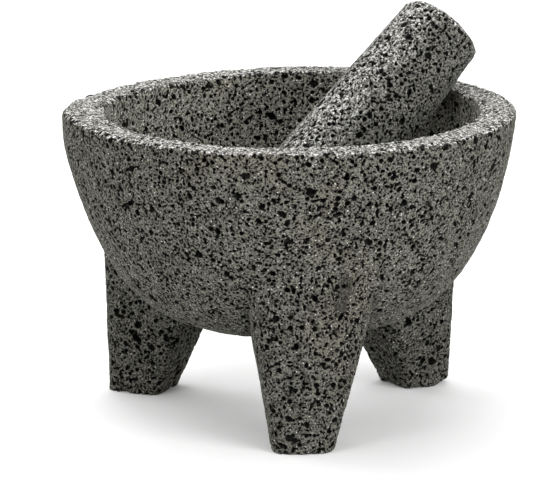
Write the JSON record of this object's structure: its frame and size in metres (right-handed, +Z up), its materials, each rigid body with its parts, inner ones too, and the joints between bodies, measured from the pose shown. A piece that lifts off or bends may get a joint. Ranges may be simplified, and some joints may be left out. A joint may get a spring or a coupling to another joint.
{
  "type": "molcajete",
  "caption": "Three-legged mortar carved from porous dark basalt, with a loose tapered stone pestle (tejolote) leaning in its bowl.",
  "frame": {"origin": "on the ground, under the middle of the bowl's rim", "axes": "+Z up, out of the bowl's mouth; -Y is the front, the side of the front leg; +X to the right seen from the front"},
  "size_m": [0.205, 0.205, 0.1819],
  "materials": {
    "mortar_basalt": "matte",
    "tejolote_basalt": "matte"
  },
  "bodies": {
    "mortar_body": {"mortar": "mortar_basalt"},
    "tejolote_body": {"tejolote": "tejolote_basalt"}
  },
  "joints": [
    {"name": "tejolote_lift", "type": "slide", "parent": "mortar_body", "child": "tejolote_body", "axis": [0, 0, 1], "range_m": [0, 0.1]}
  ]
}
